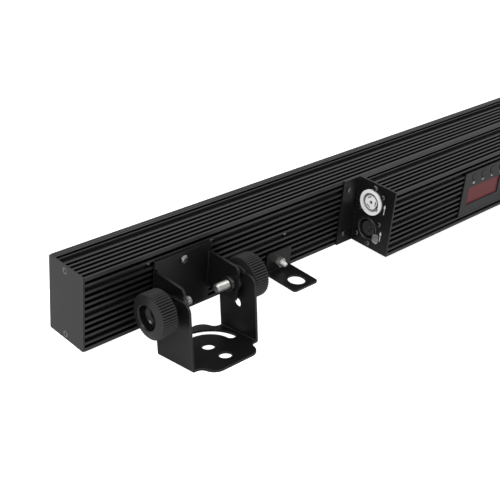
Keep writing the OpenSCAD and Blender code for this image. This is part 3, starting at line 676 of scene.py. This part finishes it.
MENU_MARKS = {
    "button_1": [rectangle(-1.5, k - 0.2, 1.5, k + 0.2) for k in (-1, 0, 1)],
    "button_2": [[(1.6, 0.9), (1.6, -0.5), (-0.4, -0.5), (-0.4, -1.1), (-1.6, -0.25), (-0.4, 0.6),
                  (-0.4, 0), (1.1, 0), (1.1, 0.9)]],
    "button_3": [[(-1.3, -0.8), (1.3, -0.8), (0, 1.0)]],
    "button_4": [[(-1.3, 0.8), (0, -1.0), (1.3, 0.8)]],
}


def ring_outline(inner, outer, gap=4):
    """Most of a ring as one outline, split at its foot by a hairline; angles in degrees."""
    turns = [math.radians(-90 + gap / 2 + (360 - gap) * k / 40) for k in range(41)]
    return ([(outer * math.cos(t), outer * math.sin(t)) for t in turns]
            + [(inner * math.cos(t), inner * math.sin(t)) for t in reversed(turns)])


def add_menu_marks():
    """Under each button a mark: list, enter, up and down. Round each button a near-black ring of painted
    shade.
    """
    face = min(on_bar_axes(vertex.co)[1] for vertex in NODES["control_panel"].data.vertices)
    for node, marks in MENU_MARKS.items():
        button = on_bar_axes(middle(node))
        place = from_bar_axes(button[0], face, button[2] - MARK_DROP)
        add_flat_marks(f"{node}_mark", marks, place, (1, 0, 0), BACK_UP, BACK_OUT, PRINT)
        # A near-black ring round the button: painted shade of the gap round it
        place = from_bar_axes(button[0], face, button[2])
        add_flat_marks(f"{node}_outline", [ring_outline(3.55, 4.15)], place, (1, 0, 0), BACK_UP, BACK_OUT, BUTTON_GAP_SHADE)


def add_connector_mark(node, way):
    """An arrow beside a connector: up for an outlet, down for an inlet."""
    centre = on_bar_axes(middle(node))
    ends = [vertex.co.x for vertex in NODES["driver_box_housing"].data.vertices]
    face = (min(ends) if way < 0 else max(ends)) + way * PLATE_THICKNESS
    place = from_bar_axes(face, centre[1] - ARROW_ASIDE, centre[2] - ARROW_DROP)
    tip = 5.0 if node.endswith("outlet") else -5.0
    arrow = [(-0.35, -tip), (0.35, -tip), (0.35, tip * 0.3), (1.3, tip * 0.3), (0, tip), (-1.3, tip * 0.3),
             (-0.35, tip * 0.3)]
    add_flat_marks(f"{node}_mark", [arrow], place, (0, -way, 0), BACK_UP, (way, 0, 0), PRINT)


add_menu_marks()
for node, way in (("power_outlet", -1), ("dmx_outlet", -1), ("power_inlet", 1), ("dmx_inlet", 1)):
    add_connector_mark(node, way)


# ---------- the eyelets' threaded studs ----------

def add_eyelet_stud(side):
    """Rolled thread over the free length of a stud, out of the bar's back."""
    name = "left" if side < 0 else "right"
    both = NODES["eyelet_studs"].data.vertices
    spots = [on_bar_axes(vertex.co) for vertex in both if vertex.co.x * side > 0]
    low = [min(spot[k] for spot in spots) for k in range(3)]
    high = [max(spot[k] for spot in spots) for k in range(3)]
    start = from_bar_axes((low[0] + high[0]) / 2, low[1], (low[2] + high[2]) / 2)
    radius = (high[2] - low[2]) / 2
    verts, faces = threaded_rod(high[1] - low[1], start, -BACK_OUT, radius, EYELET_STUD_PITCH)
    return add_piece(f"eyelet_stud_{name}_thread", verts, faces, BRIGHT_ZINC, "bar")


for side in (-1, 1):
    stud = add_eyelet_stud(side)
    smooth(stud, 45)
    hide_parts("eyelet_studs")

# ---------- stage ----------


def add_floor():
    bpy.ops.mesh.primitive_plane_add(size=12, location=(0, 0, 0))
    floor = bpy.context.object
    floor.name = "floor"
    s = Shader("floor")
    cloud = s.noise(s.coords(), 3.0, 2.0)
    seen = s.add("ShaderNodeLightPath").outputs["Is Camera Ray"]
    floor.data.materials.append(s.done(
        color=s.ramp(cloud, [(0.3, grey(0.80)), (0.7, grey(0.82))]), rough=0.95, specular=0.0,
        emit=grey(1.0), emit_strength=s.between(seen, 0.0, 0.9)))


def add_light(name, azimuth, elevation, distance, size, power):
    data = bpy.data.lights.new(name, "AREA")
    data.shape = "DISK"
    data.size = size
    data.energy = power
    light = bpy.data.objects.new(name, data)
    bpy.context.collection.objects.link(light)
    a, e = math.radians(azimuth), math.radians(elevation)
    back = Vector((math.sin(a) * math.cos(e), -math.cos(a) * math.cos(e), math.sin(e)))
    light.location = LIGHT_AIM + back * distance
    light.rotation_euler = back.to_track_quat("Z", "Y").to_euler()


def add_world():
    """White to the camera, and a softer white to everything it lights."""
    world = bpy.data.worlds.new("studio")
    bpy.context.scene.world = world
    world.use_nodes = True
    tree = world.node_tree
    background = tree.nodes["Background"]
    background.inputs["Color"].default_value = (1, 1, 1, 1)
    path = tree.nodes.new("ShaderNodeLightPath")
    strength = tree.nodes.new("ShaderNodeMapRange")
    strength.inputs["To Min"].default_value = WORLD_LIGHT
    strength.inputs["To Max"].default_value = 1.0
    tree.links.new(path.outputs["Is Camera Ray"], strength.inputs["Value"])
    tree.links.new(strength.outputs["Result"], background.inputs["Strength"])


def add_camera():
    pivot = Vector(JOINTS["left_yoke_swivel"]["pos_m"])
    back = Vector((
        math.sin(CAMERA_AZIMUTH) * math.cos(CAMERA_ELEVATION),
        -math.cos(CAMERA_AZIMUTH) * math.cos(CAMERA_ELEVATION),
        math.sin(CAMERA_ELEVATION),
    ))
    data = bpy.data.cameras.new("camera")
    data.lens = CAMERA_LENS_MM
    data.sensor_width = 36
    data.clip_end = 20
    camera = bpy.data.objects.new("camera", data)
    bpy.context.collection.objects.link(camera)
    turn = back.to_track_quat("Z", "Y").to_matrix().to_4x4() @ Matrix.Rotation(CAMERA_ROLL, 4, "Z")
    camera.matrix_world = Matrix.Translation(pivot + CAMERA_AIM + back * CAMERA_DISTANCE) @ turn
    bpy.context.scene.camera = camera


add_floor()
add_world()
add_light("key", -80, 45, 1.6, 0.7, 10)
add_light("fill", 25, 35, 2.0, 1.0, 4)
add_camera()
bpy.context.scene.view_settings.view_transform = "Standard"
